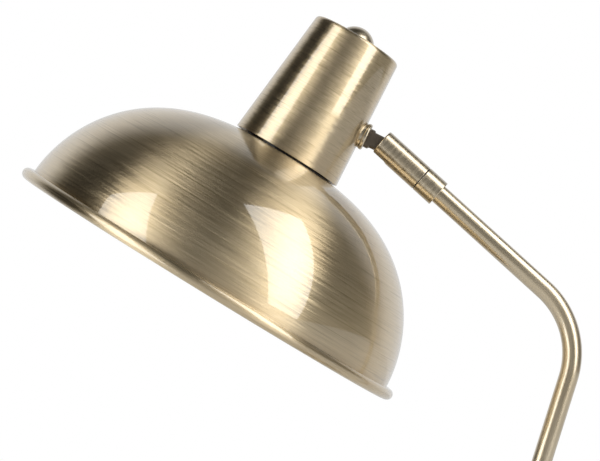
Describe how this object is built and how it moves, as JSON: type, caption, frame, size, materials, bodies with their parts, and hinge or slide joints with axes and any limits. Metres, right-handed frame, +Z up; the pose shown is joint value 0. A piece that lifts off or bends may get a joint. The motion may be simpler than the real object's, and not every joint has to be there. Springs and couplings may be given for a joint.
{
  "type": "desk lamp",
  "caption": "Desk lamp with a brushed brass dome shade and conical cap on a tilting, swivelling knuckle, held over a round weighted base by a bent tube arm.",
  "frame": {"origin": "middle of the base pad's underside, on the table", "axes": "+Z up; the arm lies in the XZ plane; the shade hangs on the -X side and the cord inlet is on the +X side"},
  "size_m": [0.2842, 0.2196, 0.5005],
  "materials": {
    "brushed_brass": "steel sheet plated in antique brass, brushed round its axis, under clear gloss lacquer",
    "satin_brass_tube": "plated steel tube, satin, brushed lengthwise",
    "turned_brass": "turned, satin, lacquered",
    "dark_steel": "dull dark plate",
    "zinc_steel": "bright zinc plate",
    "cast_iron": "as cast, black primer",
    "foam_pad": "matt closed-cell foam",
    "black_rubber": "matt",
    "white_nylon": "moulded",
    "lead_sheath": "extruded sheath",
    "holder_black": "moulded, glossy",
    "white_ceramic": "unglazed",
    "contact_brass": "bright strip",
    "bulb_metal": "bright",
    "bulb_insulator": "glossy",
    "bulb_white": "moulded",
    "opal_globe": "opal, matt"
  },
  "bodies": {
    "stand": {"base_shell": "brushed_brass", "base_weight": "cast_iron", "base_plate": "zinc_steel", "base_plate_screws": "zinc_steel", "base_pad": "foam_pad", "cord_bush": "black_rubber", "cord_clamp": "white_nylon", "cord_clamp_screws": "zinc_steel", "terminal_block": "white_nylon", "arm_tube": "satin_brass_tube", "arm_ferrule": "satin_brass_tube", "arm_washer": "zinc_steel", "arm_nut": "zinc_steel", "arm_lead": "lead_sheath", "swivel_collar": "turned_brass", "swivel_spigot": "zinc_steel", "swivel_washer": "white_nylon"},
    "sleeve": {"swivel_sleeve": "turned_brass", "swivel_set_screw": "zinc_steel", "pivot_screw": "zinc_steel", "pivot_washers": "zinc_steel"},
    "head": {"knuckle_tongue": "dark_steel", "joint_washer": "turned_brass", "joint_nut": "turned_brass", "joint_inner_washer": "zinc_steel", "joint_locknut": "zinc_steel", "cap_cone": "brushed_brass", "domed_nut": "turned_brass", "lamp_nipple": "zinc_steel", "nipple_locknuts": "zinc_steel", "holder_cover": "holder_black", "holder_body": "holder_black", "holder_core": "white_ceramic", "screw_shell": "contact_brass", "centre_contact": "contact_brass", "shade_ring": "holder_black", "dome_shade": "brushed_brass", "head_wires": "lead_sheath", "bulb_cap": "bulb_metal", "bulb_insulator": "bulb_insulator", "bulb_button": "bulb_metal", "bulb_collar": "bulb_white", "bulb_globe": "opal_globe"}
  },
  "joints": [
    {"name": "head_swivel", "type": "hinge", "parent": "stand", "child": "sleeve", "pos_m": [0.01142, 0, 0.41775], "axis": [-0.742, 0, 0.6704], "range_deg": [-150, 150]},
    {"name": "head_tilt", "type": "hinge", "parent": "sleeve", "child": "head", "pos_m": [-0.00561, 0, 0.43314], "axis": [0, -1, 0], "range_deg": [-18, 35]}
  ]
}
